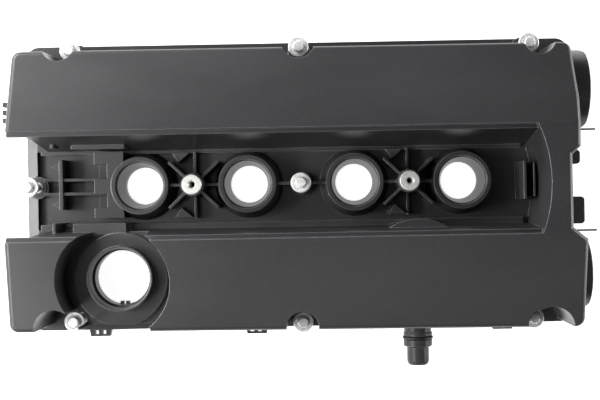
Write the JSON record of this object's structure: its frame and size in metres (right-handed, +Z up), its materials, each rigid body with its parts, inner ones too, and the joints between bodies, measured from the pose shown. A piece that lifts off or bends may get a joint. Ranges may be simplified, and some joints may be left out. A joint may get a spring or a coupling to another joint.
{
  "type": "cylinder head cover",
  "caption": "Moulded cylinder head cover with cam banks, a recessed coil well with spark plug bores, an oil filler neck, a breather spigot and captive flange bolts.",
  "frame": {"origin": "on the centre bolt's axis, in the plane of the cylinder head joint", "axes": "+X along the row of spark plug bores towards the cam phaser arches, +Y towards the rear bank, away from the oil filler, +Z up out of the engine"},
  "size_m": [0.4718, 0.2634, 0.08],
  "materials": {
    "cover_plastic": "satin, fine moulded grain",
    "gasket_rubber": "matt",
    "grommet_rubber": "matt",
    "ring_rubber": "satin",
    "diaphragm_rubber": "matt",
    "sleeve_steel": "zinc plated",
    "bolt_zinc": "bright zinc plated",
    "screw_steel": "zinc plated",
    "insert_metal": "bright, turned",
    "spring_steel": "drawn wire",
    "spigot_plastic": "satin",
    "separator_plastic": "matt",
    "valve_plastic": "matt",
    "clip_plastic": "satin"
  },
  "bodies": {
    "cover": {"cover_shell": "cover_plastic", "perimeter_gasket": "gasket_rubber", "plug_well_gasket": "gasket_rubber", "compression_sleeves": "sleeve_steel", "bolt_grommets": "grommet_rubber", "coil_insert_left": "insert_metal", "coil_insert_right": "insert_metal", "breather_spigot": "spigot_plastic", "spigot_o_ring": "ring_rubber", "separator_baffle": "separator_plastic", "baffle_screws": "screw_steel", "pressure_valve_cap": "valve_plastic", "pressure_valve_diaphragm": "diaphragm_rubber", "pressure_valve_spring": "spring_steel", "harness_clip_rail": "clip_plastic"},
    "bolt_rear_left": {"bolt_rear_left": "bolt_zinc"},
    "bolt_rear_centre": {"bolt_rear_centre": "bolt_zinc"},
    "bolt_rear_right": {"bolt_rear_right": "bolt_zinc"},
    "bolt_front_left": {"bolt_front_left": "bolt_zinc"},
    "bolt_front_centre": {"bolt_front_centre": "bolt_zinc"},
    "bolt_front_right": {"bolt_front_right": "bolt_zinc"},
    "bolt_left_end": {"bolt_left_end": "bolt_zinc"},
    "bolt_centre": {"bolt_centre": "bolt_zinc"},
    "valve_plate": {"pressure_valve_plate": "valve_plastic"}
  },
  "joints": [
    {"name": "slide_rear_left", "type": "slide", "parent": "cover", "child": "bolt_rear_left", "axis": [0, 0, 1], "range_m": [-0.024, 0]},
    {"name": "slide_rear_centre", "type": "slide", "parent": "cover", "child": "bolt_rear_centre", "axis": [0, 0, 1], "range_m": [-0.024, 0]},
    {"name": "slide_rear_right", "type": "slide", "parent": "cover", "child": "bolt_rear_right", "axis": [0, 0, 1], "range_m": [-0.024, 0]},
    {"name": "slide_front_left", "type": "slide", "parent": "cover", "child": "bolt_front_left", "axis": [0, 0, 1], "range_m": [-0.024, 0]},
    {"name": "slide_front_centre", "type": "slide", "parent": "cover", "child": "bolt_front_centre", "axis": [0, 0, 1], "range_m": [-0.024, 0]},
    {"name": "slide_front_right", "type": "slide", "parent": "cover", "child": "bolt_front_right", "axis": [0, 0, 1], "range_m": [-0.024, 0]},
    {"name": "slide_left_end", "type": "slide", "parent": "cover", "child": "bolt_left_end", "axis": [0, 0, 1], "range_m": [-0.024, 0]},
    {"name": "slide_centre", "type": "slide", "parent": "cover", "child": "bolt_centre", "axis": [0, 0, 1], "range_m": [-0.024, 0]},
    {"name": "valve_lift", "type": "slide", "parent": "cover", "child": "valve_plate", "axis": [0, 0, 1], "range_m": [-0.003, 0], "stiffness_N_per_m": 150, "springref_m": 0.002, "deforming": ["pressure_valve_spring"]}
  ]
}
